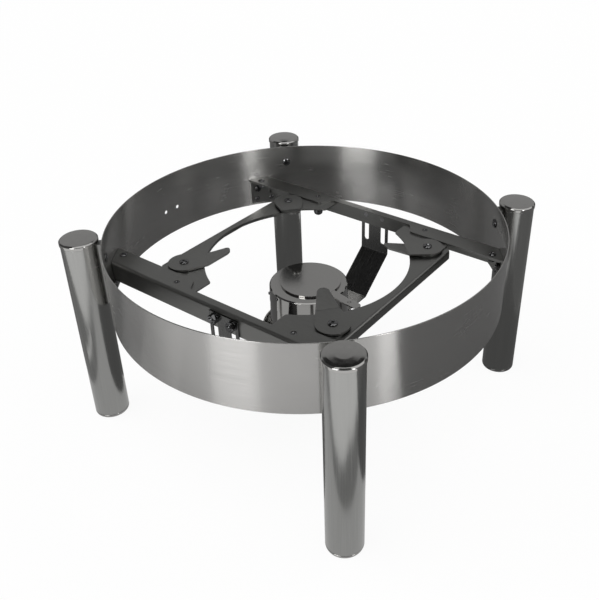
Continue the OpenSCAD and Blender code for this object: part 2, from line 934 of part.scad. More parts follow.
module hanger_washers() {
    color("slategray")
        at_hanger_studs()
            difference() {
                along_x(2 * stud_d, hanger_washer_y, hanger_washer_t);
                along_x(stud_d + 2 * eps, hanger_washer_y - 1, hanger_washer_t + 2);
            }
}

module hanger_nuts() {
    color("slategray")
        at_hanger_studs()
            translate([hanger_washer_y + hanger_washer_t, 0, 0])
                rotate([0, 90, 0])
                    hex_nut(stud_d);
}

// Shallow round tray with a rolled rim, riveted to the hanger's floor
module burner_tray() {
    rim_r = 1.8;
    wall_r = tray_d / 2 - 2 * rim_r;
    color("gray")
        difference() {
            translate([0, 0, hanger_floor])
                rotate_extrude()
                    union() {
                        square([wall_r, tray_t]);
                        translate([wall_r - tray_t, 0])
                            square([tray_t, tray_h]);
                        translate([wall_r + rim_r - tray_t, tray_h])
                            circle(r = rim_r, $fn = 32);
                    }
            rivet_axes()
                translate([0, 0, hanger_floor - 1])
                    cylinder(d = rivet_d, h = tray_t + 2);
        }
}

module tray_rivets() {
    head = 1;
    color("slategray")
        rivet_axes()
            translate([0, 0, hanger_floor - hanger_t])
                union() {
                    translate([0, 0, -head])
                        cylinder(d1 = rivet_d * 1.4, d2 = rivet_d * 1.8, h = head);
                    cylinder(d = rivet_d - 2 * eps, h = hanger_t + tray_t);
                    translate([0, 0, hanger_t + tray_t])
                        cylinder(d1 = rivet_d * 1.8, d2 = rivet_d * 1.4, h = head);
                }
}

// Drawn shell: slightly conical wall, lapped by a cover with a flat top ring round the flame opening
module burner_housing() {
    soft = 1.6;
    cover_z = burner_h - cover_h;
    color("gainsboro")
        translate([0, 0, burner_z])
            rotate_extrude()
                polygon(rounded(
                    [
                        [housing_r(0) - burner_t, 0], [housing_r(0), 0],
                        [housing_r(cover_z), cover_z], [housing_r(cover_z) + cover_step, cover_z],
                        [burner_top_d / 2, burner_h], [flame_d / 2, burner_h],
                        [flame_d / 2, burner_h - burner_t], [housing_r(burner_h) - burner_t, burner_h - burner_t]
                    ],
                    [0, 0, 0, 0, soft, 0, 0, 0]
                ));
}

// Drawn base in the foot of the shell: upturned rim, standing ring and raised floor
module burner_base() {
    rim_r = housing_r(base_rim_h) - burner_t - skin_gap;
    ring_w = 7;
    color("silver")
        translate([0, 0, burner_z])
            rotate_extrude()
                polygon([
                    [0, base_raise], [rim_r - ring_w, base_raise], [rim_r - ring_w, 0], [rim_r, 0],
                    [rim_r, base_rim_h], [rim_r - burner_t, base_rim_h], [rim_r - burner_t, burner_t],
                    [rim_r - ring_w + burner_t, burner_t],
                    [rim_r - ring_w + burner_t, base_raise + burner_t], [0, base_raise + burner_t]
                ]);
}

module fuel_cup() {
    cup_r = fuel_cup_d / 2;
    color("silver")
        translate([0, 0, burner_z + base_raise + burner_t])
            rotate_extrude()
                polygon([
                    [0, 0], [cup_r, 0], [cup_r, fuel_cup_h], [cup_r - burner_t, fuel_cup_h],
                    [cup_r - burner_t, burner_t], [0, burner_t]
                ]);
}

// Two small rivets on the cover, at the left and front left
module housing_rivets() {
    head = 1.5;
    color("slategray")
        for (v = cover_rivets)
            rotate([0, 0, v[0]])
                translate([housing_r(burner_h - v[1]) + cover_step + skin_gap, 0, housing_top - v[1]])
                    rotate([0, 90, 0])
                        cylinder(d1 = rivet_d, d2 = rivet_d * 0.7, h = head);
}

// Outside radius of the housing's wall at height z above its foot
function housing_r(z) = burner_foot_d / 2 + (burner_top_d / 2 - cover_step - burner_foot_d / 2) * z / burner_h;

// Snuffer lid: disc with a collar in the flame opening and a handle with a turned-up end
module burner_lid() {
    collar_r = flame_d / 2 - fit_gap - lid_play;
    color("lightgray")
        translate([lid_play * cos(lid_play_dir), lid_play * sin(lid_play_dir), housing_top + slide_gap])
            union() {
                rotate_extrude()
                    polygon([
                        [0, 0], [collar_r - burner_t, 0], [collar_r - burner_t, -lid_collar_h],
                        [collar_r, -lid_collar_h], [collar_r, 0], [lid_d / 2, 0], [lid_d / 2, lid_t], [0, lid_t]
                    ]);
                rotate([0, 0, handle_dir])
                    lid_handle();
            }
}

// Plan of the handle along local +X, with a rounded end and a hole in it
module handle_plan() {
    root = sqrt(pow(lid_d / 2, 2) - pow(handle_w / 2, 2)) - 2;
    end_x = handle_reach - handle_w / 2;
    difference() {
        union() {
            translate([root, -handle_w / 2])
                square([end_x - root, handle_w]);
            translate([end_x, 0])
                circle(d = handle_w);
        }
        translate([handle_reach - handle_hole_in, 0])
            circle(d = handle_hole_d);
    }
}

// Flat strip along local +X with a turned-up end
module lid_handle() {
    bend = [handle_reach - handle_end_len * cos(handle_end_tilt), lid_t / 2];
    path = [[0, lid_t / 2], bend, bend + (handle_end_len + handle_t) * turned(handle_end_tilt)];
    intersection() {
        rotate([90, 0, 0])
            translate([0, 0, -handle_w / 2 - 1])
                linear_extrude(height = handle_w + 2)
                    polygon(folded_strip(path, handle_t, handle_t));
        translate([0, 0, -handle_end_len])
            linear_extrude(height = 2 * handle_end_len)
                handle_plan();
    }
}

ring_band();
leg_tube(front_left);  // leg_tube_front_left
leg_tube(front_right);  // leg_tube_front_right
leg_tube(back_right);  // leg_tube_back_right
leg_tube(back_left);  // leg_tube_back_left
leg_cap(front_left);  // leg_cap_front_left
leg_cap(front_right);  // leg_cap_front_right
leg_cap(back_right);  // leg_cap_back_right
leg_cap(back_left);  // leg_cap_back_left
leg_foot(front_left);  // leg_foot_front_left
leg_foot(front_right);  // leg_foot_front_right
leg_foot(back_right);  // leg_foot_back_right
leg_foot(back_left);  // leg_foot_back_left
leg_spacer(front_left);  // leg_spacer_front_left
leg_spacer(front_right);  // leg_spacer_front_right
leg_spacer(back_right);  // leg_spacer_back_right
leg_spacer(back_left);  // leg_spacer_back_left
leg_bolts();
leg_nuts();
rail_front();
rail_back();
wall_bracket(front_left);  // wall_bracket_front_left
wall_bracket(front_right);  // wall_bracket_front_right
wall_bracket(back_right);  // wall_bracket_back_right
wall_bracket(back_left);  // wall_bracket_back_left
bracket_bolts();
bracket_nuts();
wall_studs();
wall_stud_nuts();
arm_left();
arm_right();
gusset(front_left);  // gusset_front_left
gusset(front_right);  // gusset_front_right
gusset(back_right);  // gusset_back_right
gusset(back_left);  // gusset_back_left
gusset_posts();
pan_lug(front_left);  // pan_lug_front_left
pan_lug(front_right);  // pan_lug_front_right
pan_lug(back_right);  // pan_lug_back_right
pan_lug(back_left);  // pan_lug_back_left
pivot_bolts();
pivot_washers();
pivot_nuts();
hanger_strap();
hanger_studs();
hanger_washers();
hanger_nuts();
burner_tray();
tray_rivets();
burner_housing();
burner_base();
fuel_cup();
housing_rivets();
burner_lid();
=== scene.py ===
from math import atan2, cos, hypot, pi, radians, sin

import bmesh
import bpy
from mathutils import Matrix, Vector


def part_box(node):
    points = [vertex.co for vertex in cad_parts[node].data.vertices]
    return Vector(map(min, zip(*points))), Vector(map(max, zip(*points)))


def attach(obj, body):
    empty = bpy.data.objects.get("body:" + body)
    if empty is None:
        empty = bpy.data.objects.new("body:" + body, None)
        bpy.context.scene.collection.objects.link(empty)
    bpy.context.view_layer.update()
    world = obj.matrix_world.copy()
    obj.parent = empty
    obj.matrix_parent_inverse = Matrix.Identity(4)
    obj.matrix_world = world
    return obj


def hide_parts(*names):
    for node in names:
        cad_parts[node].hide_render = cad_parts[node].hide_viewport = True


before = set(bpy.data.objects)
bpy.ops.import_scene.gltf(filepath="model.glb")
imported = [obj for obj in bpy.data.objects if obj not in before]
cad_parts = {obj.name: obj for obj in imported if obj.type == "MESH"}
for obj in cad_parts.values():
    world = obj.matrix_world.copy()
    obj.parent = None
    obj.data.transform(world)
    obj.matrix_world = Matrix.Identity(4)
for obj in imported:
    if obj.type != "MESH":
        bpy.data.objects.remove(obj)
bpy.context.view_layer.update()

bl_info = {
    "name": "Chafing dish stand",
    "version": (1, 0, 0),
    "blender": (4, 5, 0),
    "location": "3D View > Sidebar > Stand",
    "description": "Builds the steel pieces of a round chafing dish stand over its CAD frame",
    "category": "Add Mesh",
}

MM = 0.001
# Edges sharper than this, in degrees, are shaded sharp
SMOOTH_ANGLE = 32

# Corner directions in plan
CORNERS = {"front_left": (-1, -1), "front_right": (1, -1),
           "back_right": (1, 1), "back_left": (-1, 1)}

# Real sizes in millimetres and angles in degrees, as in the part's source. PIVOT and POST are
# (x, y), heads and rivets (diameter, height) and washers (outer, inner, thickness).
BAND_WALL = 1.2
ACCESSORY_HOLE_R = 2.5
ACCESSORY_HOLES_Y = (-10, 10)
ACCESSORY_Z = 186.3
LEG_R = 20.0
LEG_WALL = 1.5
LEG_AT = 248.6
CAP_LIP = 0.8
CAP_H = 6.0
CAP_PLUG_R = 18.3
BOLT_D = 6.0
SMALL_D = 5.0
BOLT_HEAD = (10.5, 2.04)
SMALL_HEAD = (8.75, 1.7)
THREAD_LEN = 3.0
LEG_BOLT_Z = (213.0, 173.0)
LEG_BOLT_SEAT_R = 223.7
LEG_BOLT_LEN = 13.5
LEG_NUT_R = 231.12
BRACKET_BOLT_LEN = 9.5
WALL_STUD_LEN = 7.45
PIVOT_BOLT_LEN = 12.9
PIVOT_THREAD_LEN = 3.5
PIVOT_WASHER = (13.2, 6.4, 0.8)
HANGER_STUD_LEN = 11.2
HANGER_WASHER = (12, 6, 1.0)
RAIL_TOP = 193.3
ARM_BOTTOM = 187.8
PIVOT = (104.5, 94.5)
POST = (81.5, 128.5)
POST_SHOULDER_Z = 189.8
STUD_X = 12.4
STUD_Z = 182.0
STUD_ROOT_Y = 139.5
STUD_WASHER_Y = 143.4
STUD_NUT_Y = 144.4
BRACKET_ANGLE = 35.03
BRACKET_BOLT_R = 213.24
WALL_STUD_ANGLE = 33.88
WALL_STUD_Z = 179.5
WALL_STUD_R = 223.75
WALL_NUT_R = 221.7
FOOT_RIVET_ANGLES = (33.71, 38.96)
FOOT_RIVET_Z = 163.2
FOOT_RIVET_R = 221.75
FOOT_RIVET = (7.2, 1.3)
LUG_HEAD_Z = 194.2
LUG_ROD_Z = 194.4
LUG_WASHER_Z = 191.3
HANGER_FLOOR = 93.0
BURNER_Z = 94.0
HOUSING_H = 61.8
COVER_H = 21.0
TRAY_R = 54.9
TRAY_RIVET = (7.2, 1.0)
TRAY_RIVET_Y = 25.33
HOUSING_RIVET = (4, 1.5)

# The photograph's camera: angles in degrees, place in metres, lens in millimetres
CAMERA_TURN, CAMERA_TIP, CAMERA_ROLL = 35.648, 30.7576, -0.3937
CAMERA_AT = (0.4773, -0.5998, 0.6446)
CAMERA_LENS, CAMERA_SENSOR = 46.138, 36.0
CAMERA_SHIFT = (-0.06877, -0.07072)

# The studio
WHITE = (1, 1, 1, 1)
FLOOR_LIFT = 0.92
WORLD_FILL = 0.45
FLAG_REACH = 1600
# Reach of the glowing cards that paint softbox highlights into reflections
GLINT_CARD_REACH = 1590


# Settings


class StandSizes(bpy.types.PropertyGroup):
    edge: bpy.props.FloatProperty(
        name="Sheet edge", description="Rounding along the cut edges of the sheet pieces",
        default=0.0003, min=0.0, unit="LENGTH", precision=5)
    band_edge: bpy.props.FloatProperty(
        name="Band edge", description="Rounding along the band's two rims",
        default=0.0004, min=0.0, unit="LENGTH", precision=5)
    turned_edge: bpy.props.FloatProperty(
        name="Turned edge", description="Rounding along the edges of turned pieces",
        default=0.0004, min=0.0, unit="LENGTH", precision=5)
    thread_pitch: bpy.props.FloatProperty(
        name="Thread pitch", description="Distance from one thread to the next",
        default=0.001, min=0.0004, unit="LENGTH", precision=5)
    recess_span: bpy.props.FloatProperty(
        name="Cross recess", description="Span of the cross recess in the head of an M6 screw",
        default=0.0058, min=0.001, unit="LENGTH", precision=5)


class StandColours(bpy.types.PropertyGroup):
    band: bpy.props.StringProperty(
        name="Band", description="Brushed band steel as an sRGB hex value", default="#b2b1af")
    legs: bpy.props.StringProperty(
        name="Legs", description="Polished tube steel as an sRGB hex value", default="#a3a3a1")
    sheet: bpy.props.StringProperty(
        name="Sheet", description="Rolled sheet steel as an sRGB hex value", default="#848482")
    # The strap's colour is the sheet steel's, darkened as painted shade
    strap: bpy.props.StringProperty(
        name="Strap", description="Hanger strap steel as an sRGB hex value", default="#6c6c6b")
    polished: bpy.props.StringProperty(
        name="Polished", description="Buffed cap and burner steel as an sRGB hex value",
        default="#a8a7a5")
    zinc: bpy.props.StringProperty(
        name="Zinc", description="Zinc-plated screws and nuts as an sRGB hex value",
        default="#6e6e6f")
    floor: bpy.props.StringProperty(
        name="Floor", description="Plain studio floor as an sRGB hex value", default="#f6f6f5")


def sizes():
    return bpy.context.scene.stand_sizes


def colours():
    return bpy.context.scene.stand_colours


# Shapes


def turned_shape(profile, steps=64, soften=None, closed=True, segments=3):
    """A shape turned about Z from (radius, height) points in mm, its corners softened first."""
    bm = bmesh.new()
    points = [bm.verts.new((r * MM, 0.0, z * MM)) for r, z in profile]
    for a, b in zip(points, points[1:]):
        bm.edges.new((a, b))
    if closed:
        bm.edges.new((points[-1], points[0]))
    radius = sizes().turned_edge if soften is None else soften
    corners = [v for v in bm.verts if v.co.x > 1e-6 and len(v.link_edges) == 2]
    if radius and corners:
        bmesh.ops.bevel(bm, geom=corners, offset=radius, offset_type="OFFSET", segments=segments,
                        profile=0.5, affect="VERTICES", clamp_overlap=True, material=-1)
    bmesh.ops.spin(bm, geom=bm.verts[:] + bm.edges[:], cent=(0, 0, 0), axis=(0, 0, 1),
                   angle=2 * pi, steps=steps, use_merge=True)
    bmesh.ops.remove_doubles(bm, verts=bm.verts, dist=1e-6)
    bmesh.ops.recalc_face_normals(bm, faces=bm.faces)
    return bm


def cad_copy(node):
    """A merged copy of a CAD node's mesh, with its flat faces made whole."""
    bm = bmesh.new()
    bm.from_mesh(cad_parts[node].data)
    bmesh.ops.remove_doubles(bm, verts=bm.verts, dist=1e-6)
    bmesh.ops.dissolve_limit(bm, angle_limit=radians(0.4), verts=bm.verts, edges=bm.edges)
    return bm


def soften(bm, width, angle=30, segments=2):
    """Rounds every edge that is sharper than angle."""
    edges = [e for e in bm.edges if e.is_manifold and e.calc_face_angle() > radians(angle)]
    bmesh.ops.bevel(bm, geom=edges, offset=width, offset_type="OFFSET", segments=segments,
                    profile=0.5, affect="EDGES", clamp_overlap=True, material=-1)
    return bm


def cut(bm, tool, how="DIFFERENCE"):
    """bm less the tool, or the part of bm within it."""
    pair = []
    for shape in (bm, tool):
        mesh = bpy.data.meshes.new("cut")
        shape.to_mesh(mesh)
        shape.free()
        pair.append(bpy.data.objects.new("cut", mesh))
        bpy.context.scene.collection.objects.link(pair[-1])
    boolean = pair[0].modifiers.new("cut", "BOOLEAN")
    boolean.object, boolean.operation, boolean.solver = pair[1], how, "EXACT"
    bpy.context.view_layer.update()
    result = bmesh.new()
    result.from_object(pair[0], bpy.context.evaluated_depsgraph_get())
    for obj in pair:
        mesh = obj.data
        bpy.data.objects.remove(obj)
        bpy.data.meshes.remove(mesh)
    bmesh.ops.remove_doubles(result, verts=result.verts, dist=1e-6)
    return result


def placed(bm, places):
    """One shape with a copy of bm at each place."""
    source = bpy.data.meshes.new("source")
    bm.to_mesh(source)
    bm.free()
    group = bmesh.new()
    for place in places:
        first_vert, first_face = len(group.verts), len(group.faces)
        group.from_mesh(source)
        group.verts.ensure_lookup_table()
        group.faces.ensure_lookup_table()
        bmesh.ops.transform(group, matrix=place, verts=group.verts[first_vert:])
        if place.determinant() < 0:
            bmesh.ops.reverse_faces(group, faces=group.faces[first_face:])
    bpy.data.meshes.remove(source)
    return group


def joined(*shapes):
    """Several shapes as one."""
    group = bmesh.new()
    for bm in shapes:
        mesh = bpy.data.meshes.new("source")
        bm.to_mesh(mesh)
        bm.free()
        group.from_mesh(mesh)
        bpy.data.meshes.remove(mesh)
    return group


def aimed(at, direction=(0, 0, 1), turn=0.0):
    """A place at a point in mm, with local +Z along direction."""
    return (Matrix.Translation(Vector(at) * MM)
            @ Vector(direction).to_track_quat("Z", "Y").to_matrix().to_4x4()
            @ Matrix.Rotation(radians(turn), 4, "Z"))


def on_radius(angle, radius, z):
    return (radius * cos(radians(angle)), radius * sin(radians(angle)), z)


def corner_angle(angle, x, y):
    """An angle in degrees about Z, mirrored into the quarter of corner (x, y)."""
    return (angle if x * y > 0 else -angle) + (180 if x < 0 else 0)


def leg_places():
    return [aimed((x * LEG_AT * cos(pi / 4), y * LEG_AT * sin(pi / 4), 0))
            for x, y in CORNERS.values()]


def finish_piece(name, bm, material, body, slot, *nodes):
    """Puts a shape in the scene, hangs it on the body it rides on and hides the CAD nodes it stands
    for. The slot is not used.
    """
    mesh = bpy.data.meshes.new(name)
    bm.to_mesh(mesh)
    bm.free()
    mesh.shade_smooth()
    mesh.set_sharp_from_angle(angle=radians(SMOOTH_ANGLE))
    mesh.materials.append(material)
    piece = bpy.data.objects.new(name, mesh)
    bpy.context.scene.collection.objects.link(piece)
    level = piece.modifiers.new("level_faces", "WEIGHTED_NORMAL")
    level.mode, level.weight, level.keep_sharp = "FACE_AREA", 90, True
    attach(piece, body)
    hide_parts(*nodes)


def soft_copies(names, material, body, slot, width=None, segments=2):
    """Detailed pieces from CAD nodes of folded or cut sheet: same place and size, edges rounded."""
    for name in names:
        bm = soften(cad_copy(name), sizes().edge if width is None else width, segments=segments)
        rides = body if isinstance(body, str) else body[name]
        finish_piece(name + "_steel", bm, material, rides, slot, name)


# Fasteners


def screw_head(diameter, high, recess):
    """Pan head, seat at z 0, with a tapered cross recess. recess is its span in metres."""
    r = diameter / 2
    bm = turned_shape([(0, 0), (r * 0.9, 0), (r, high * 0.18), (r * 0.97, high * 0.5),
                       (r * 0.66, high * 0.94), (0, high)],
                      steps=48, soften=high * 0.22 * MM, closed=False, segments=4)
    for turn in (0, 90):
        arm = bmesh.new()
        bmesh.ops.create_cube(arm, size=1.0)
        bmesh.ops.scale(arm, vec=(recess, recess * 0.3, high * 1.5 * MM), verts=arm.verts)
        low = [v for v in arm.verts if v.co.z < 0]
        bmesh.ops.scale(arm, vec=(0.5, 0.7, 1.0), verts=low)
        bmesh.ops.transform(arm, matrix=Matrix.Translation((0, 0, high * 1.05 * MM))
                            @ Matrix.Rotation(radians(turn), 4, "Z"), verts=arm.verts)
        bm = cut(bm, arm)
    return bm


def threaded_rod(diameter, length, threaded):
    """Rod from z 0 up, with a chamfered end and a thread cut on its last stretch."""
    r, pitch = diameter / 2, sizes().thread_pitch / MM
    bm = bmesh.new()
    points = [bm.verts.new((x * MM, 0, z * MM)) for x, z in
              [(0, 0), (r, 0), (r, length - threaded), (r, length - 0.5), (r - 0.5, length),
               (0, length)]]
    edges = [bm.edges.new(pair) for pair in zip(points, points[1:])]
    bmesh.ops.subdivide_edges(bm, edges=[edges[2]], cuts=max(4, int((threaded - 0.5) / pitch * 6)))
    bmesh.ops.spin(bm, geom=bm.verts[:] + bm.edges[:], cent=(0, 0, 0), axis=(0, 0, 1),
                   angle=2 * pi, steps=24, use_merge=True)
    bmesh.ops.remove_doubles(bm, verts=bm.verts, dist=1e-6)
    for v in bm.verts:
        height = v.co.z / MM
        outside = hypot(v.co.x, v.co.y) > r * 0.9 * MM
        if outside and length - threaded < height < length - 0.4:
            phase = (height / pitch - atan2(v.co.y, v.co.x) / (2 * pi)) % 1.0
            depth = 0.55 * pitch * abs(2 * phase - 1)
            scale = (r - depth) / r
            v.co.x, v.co.y = v.co.x * scale, v.co.y * scale
    bmesh.ops.recalc_face_normals(bm, faces=bm.faces)
    return bm


def chamfered_nut(bolt):
    """Hexagon nut, seat at z 0, with turned chamfers and a countersunk bore."""
    flats, high = bolt * 1.65, bolt * 0.8
    corner = flats / 2 / cos(pi / 6)
    body = bmesh.new()
    bmesh.ops.create_cone(body, cap_ends=True, segments=6, radius1=corner * MM, radius2=corner * MM,
                          depth=high * MM)
    bmesh.ops.translate(body, vec=(0, 0, high / 2 * MM), verts=body.verts)
    lathe = turned_shape([(0, 0), (flats * 0.475, 0), (corner * 1.02, high * 0.2),
                          (corner * 1.02, high * 0.8), (flats * 0.475, high), (0, high)],
                         steps=48, soften=0, closed=False)
    bore = turned_shape([(0, -0.2), (bolt / 2 + 0.6, -0.2), (bolt / 2, 0.5), (bolt / 2, high - 0.5),
                         (bolt / 2 + 0.6, high + 0.2), (0, high + 0.2)],
                        steps=24, soften=0, closed=False)
    return cut(cut(body, lathe, "INTERSECT"), bore)


def flat_washer(outer, inner, thick):
    return turned_shape([(inner / 2, 0), (outer / 2, 0), (outer / 2, thick), (inner / 2, thick)],
                        steps=48, soften=0.00018, segments=2)


def domed_rivet(diameter, high):
    """Rivet head, seat at z 0."""
    r = diameter / 2
    return turned_shape([(0, 0), (r, 0), (r * 0.92, high * 0.55), (r * 0.55, high), (0, high)],
                        steps=32, soften=high * 0.3 * MM, closed=False, segments=4)


# Finishes


def linear(code):
    """The linear colour of an sRGB hex value."""
    parts = [int(code[i:i + 2], 16) / 255 for i in (1, 3, 5)]
    return tuple(c / 12.92 if c <= 0.04045 else ((c + 0.055) / 1.055) ** 2.4
                 for c in parts) + (1.0,)


def add_node(tree, kind, values=(), links=(), **settings):
    """Adds a node with its settings, socket values and links."""
    made = tree.nodes.new(kind)
    for key, value in settings.items():
        setattr(made, key, value)
    for key, value in dict(values).items():
        made.inputs[key].default_value = value
    for key, source in dict(links).items():
        tree.links.new(source, made.inputs[key])
    return made


def steel(name, code, grain, rough, mark_depth, tint=0.10, anisotropy=0.0, rings=False, smudge=0.0):
    """A steel finish. grain is the length in mm of its marks along X, Y and Z, or their
    spacing outwards where they run in rings; rough is the roughness from smooth to marked, and
    mark_depth is in mm."""
    material = bpy.data.materials.new(name)
    material.use_nodes = True
    tree = material.node_tree
    tree.nodes.clear()
    place = add_node(tree, "ShaderNodeTexCoord").outputs["Object"]
    if rings:
        flat = add_node(tree, "ShaderNodeVectorMath", {1: (1, 1, 0)}, {0: place},
                        operation="MULTIPLY")
        reach = add_node(tree, "ShaderNodeVectorMath", (), {0: flat.outputs[0]}, operation="LENGTH")
        height = add_node(tree, "ShaderNodeSeparateXYZ", (), {0: place})
        place_in = add_node(tree, "ShaderNodeCombineXYZ", (), {
            "X": reach.outputs["Value"], "Z": height.outputs["Z"]}).outputs[0]
    else:
        place_in = place
    spread = add_node(tree, "ShaderNodeMapping", {"Scale": [1 / (g * MM) for g in grain]},
                      {"Vector": place_in})
    marks = add_node(tree, "ShaderNodeTexNoise", {"Scale": 1.0, "Detail": 5.0, "Roughness": 0.65},
                     {"Vector": spread.outputs[0]})
    haze = add_node(tree, "ShaderNodeTexNoise",
                    {"Scale": 26.0, "Detail": 3.0, "Roughness": 0.55, "Distortion": 0.4},
                    {"Vector": place})
    spread_rough = add_node(tree, "ShaderNodeMapRange",
                            {"From Min": 0.32, "From Max": 0.68,
                             "To Min": rough[0], "To Max": rough[1]},
                            {"Value": marks.outputs["Fac"]})
    hazy = add_node(tree, "ShaderNodeMapRange",
                    {"From Min": 0.45, "From Max": 0.75, "To Min": 0.0, "To Max": smudge},
                    {"Value": haze.outputs["Fac"]})
    roughness = add_node(tree, "ShaderNodeMath", (),
                         {0: spread_rough.outputs[0], 1: hazy.outputs[0]}, operation="ADD")
    base = linear(code)
    dark = tuple(c * (1 - tint) for c in base[:3]) + (1.0,)
    light = tuple(min(1.0, c * (1 + tint)) for c in base[:3]) + (1.0,)
    shade = add_node(tree, "ShaderNodeValToRGB", (), {"Fac": marks.outputs["Fac"]})
    shade.color_ramp.elements[0].position, shade.color_ramp.elements[0].color = 0.30, dark
    shade.color_ramp.elements[1].position, shade.color_ramp.elements[1].color = 0.70, light
    relief = add_node(tree, "ShaderNodeBump", {"Strength": 1.0, "Distance": mark_depth * MM},
                      {"Height": marks.outputs["Fac"]})
    shader = add_node(tree, "ShaderNodeBsdfPrincipled",
                      {"Metallic": 1.0, "Anisotropic": anisotropy},
                      {"Base Color": shade.outputs["Color"], "Roughness": roughness.outputs[0],
                       "Normal": relief.outputs[0]})
    if anisotropy:
        around = add_node(tree, "ShaderNodeTangent", direction_type="RADIAL", axis="Z")
        shader.inputs["Anisotropic Rotation"].default_value = 0.25
        tree.links.new(around.outputs[0], shader.inputs["Tangent"])
    add_node(tree, "ShaderNodeOutputMaterial", (), {"Surface": shader.outputs[0]})
    return material


def finish(name):
    """The finish of that name, made on its first use."""
    if name in bpy.data.materials:
        return bpy.data.materials[name]
    c = colours()
    if name == "brushed_band_stainless":
        # Strip brushed along its length: fine level lines that stretch every reflection upright
        return steel(name, c.band, (60, 60, 0.8), (0.235, 0.265), 0.0004, tint=0.05,
                     anisotropy=1.0, smudge=0.02)
    if name == "polished_tube_stainless":
        # Drawn tube, polished: near mirror with faint upright draw lines
        return steel(name, c.legs, (1.6, 1.6, 70), (0.14, 0.22), 0.0015, tint=0.05, smudge=0.03)
    if name == "rolled_sheet_stainless":
        # Mill-finish sheet: soft grey sheen with faint lines along the rolling direction
        return steel(name, c.sheet, (30, 1.2, 1.2), (0.30, 0.38), 0.001, tint=0.06, smudge=0.02)
    if name == "bent_strap_stainless":
        # Slit strip of the same mill finish, its rolling lines running up the strap; its colour is
        # set darker than the sheet's as painted shade
        return steel(name, c.strap, (1.2, 30, 30), (0.20, 0.28), 0.0015, tint=0.08, smudge=0.03)
    if name == "buffed_cap_stainless":
        # Buffed: clear reflections with a slight haze of wheel marks
        return steel(name, c.polished, (6, 6, 2), (0.06, 0.12), 0.0008, tint=0.04, smudge=0.05)
    if name == "spun_burner_stainless":
        # Spun and buffed: rings of fine tool marks about the burner's axis
        return steel(name, c.polished, (1.2, 1, 1.4), (0.05, 0.10), 0.0006, tint=0.05,
                     rings=True, smudge=0.02)
    if name == "zinc_plated_fastener_steel":
        # Zinc on turned steel: even grey, slightly grainy
        return steel(name, c.zinc, (0.7, 0.7, 0.7), (0.07, 0.14), 0.001, tint=0.08)
    raise KeyError(name)


# Pieces and stage


class STAND_OT_band(bpy.types.Operator):
    """Rolled steel band with its accessory holes"""
    bl_idname = "stand.band"
    bl_label = "Band"

    def execute(self, context):
        low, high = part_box("ring_band")
        outer, inner = high.x / MM, high.x / MM - BAND_WALL
        bm = turned_shape([(inner, low.z / MM), (outer, low.z / MM), (outer, high.z / MM),
                           (inner, high.z / MM)],
                          steps=180, soften=sizes().band_edge, segments=3)
        holes = bmesh.new()
        bmesh.ops.create_cone(holes, cap_ends=True, segments=32, radius1=ACCESSORY_HOLE_R * MM,
                              radius2=ACCESSORY_HOLE_R * MM, depth=12 * MM)
        holes = placed(holes, [aimed((-outer, y, ACCESSORY_Z), (-1, 0, 0))
                               for y in ACCESSORY_HOLES_Y])
        finish_piece("band_rolled", cut(bm, holes), finish("brushed_band_stainless"), "frame",
                     "band_steel", "ring_band")
        return {"FINISHED"}


class STAND_OT_legs(bpy.types.Operator):
    """Four leg tubes"""
    bl_idname = "stand.legs"
    bl_label = "Leg tubes"

    def execute(self, context):
        for corner, place in zip(CORNERS, leg_places()):
            node = "leg_tube_" + corner
            low, high = (p.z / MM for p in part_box(node))
            bm = turned_shape([(LEG_R - LEG_WALL, low), (LEG_R, low), (LEG_R, high),
                               (LEG_R - LEG_WALL, high)], steps=72)
            finish_piece(node + "_polished", placed(bm, [place]), finish("polished_tube_stainless"),
                         "frame", "leg_steel", node)
        return {"FINISHED"}


class STAND_OT_caps(bpy.types.Operator):
    """Four bevelled, gently domed leg caps"""
    bl_idname = "stand.caps"
    bl_label = "Leg caps"

    def execute(self, context):
        rim = LEG_R + CAP_LIP
        for corner, place in zip(CORNERS, leg_places()):
            node = "leg_cap_" + corner
            low, high = (p.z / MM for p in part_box(node))
            seat = high - CAP_H
            bm = turned_shape([(0, low), (17.6, low), (CAP_PLUG_R, low + 1), (CAP_PLUG_R, seat),
                               (rim, seat), (rim, high - 2.2), (rim - 1.6, high - 0.6),
                               (rim * 0.75, high - 0.3), (rim * 0.4, high - 0.06), (0, high)],
                              steps=72, closed=False)
            finish_piece(node + "_buffed", placed(bm, [place]), finish("buffed_cap_stainless"),
                         "frame", "polished_steel", node)
        return {"FINISHED"}


class STAND_OT_feet(bpy.types.Operator):
    """Four rounded foot plugs"""
    bl_idname = "stand.feet"
    bl_label = "Foot plugs"

    def execute(self, context):
        for corner, place in zip(CORNERS, leg_places()):
            node = "leg_foot_" + corner
            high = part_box(node)[1].z / MM
            bm = turned_shape([(0, 0), (LEG_R - 1.9, 0), (LEG_R - 0.5, 0.6), (LEG_R, 2.0),
                               (LEG_R, 3.8), (LEG_R - 1.8, 3.8), (LEG_R - 1.8, high), (0, high)],
                              steps=72, closed=False)
            finish_piece(node + "_turned", placed(bm, [place]), finish("buffed_cap_stainless"),
                         "frame", "polished_steel", node)
        return {"FINISHED"}


class STAND_OT_spacers(bpy.types.Operator):
    """Upright strips between band and legs"""
    bl_idname = "stand.spacers"
    bl_label = "Spacer strips"

    def execute(self, context):
        soft_copies(["leg_spacer_" + c for c in CORNERS], finish("rolled_sheet_stainless"),
                    "frame", "sheet_steel")
        return {"FINISHED"}


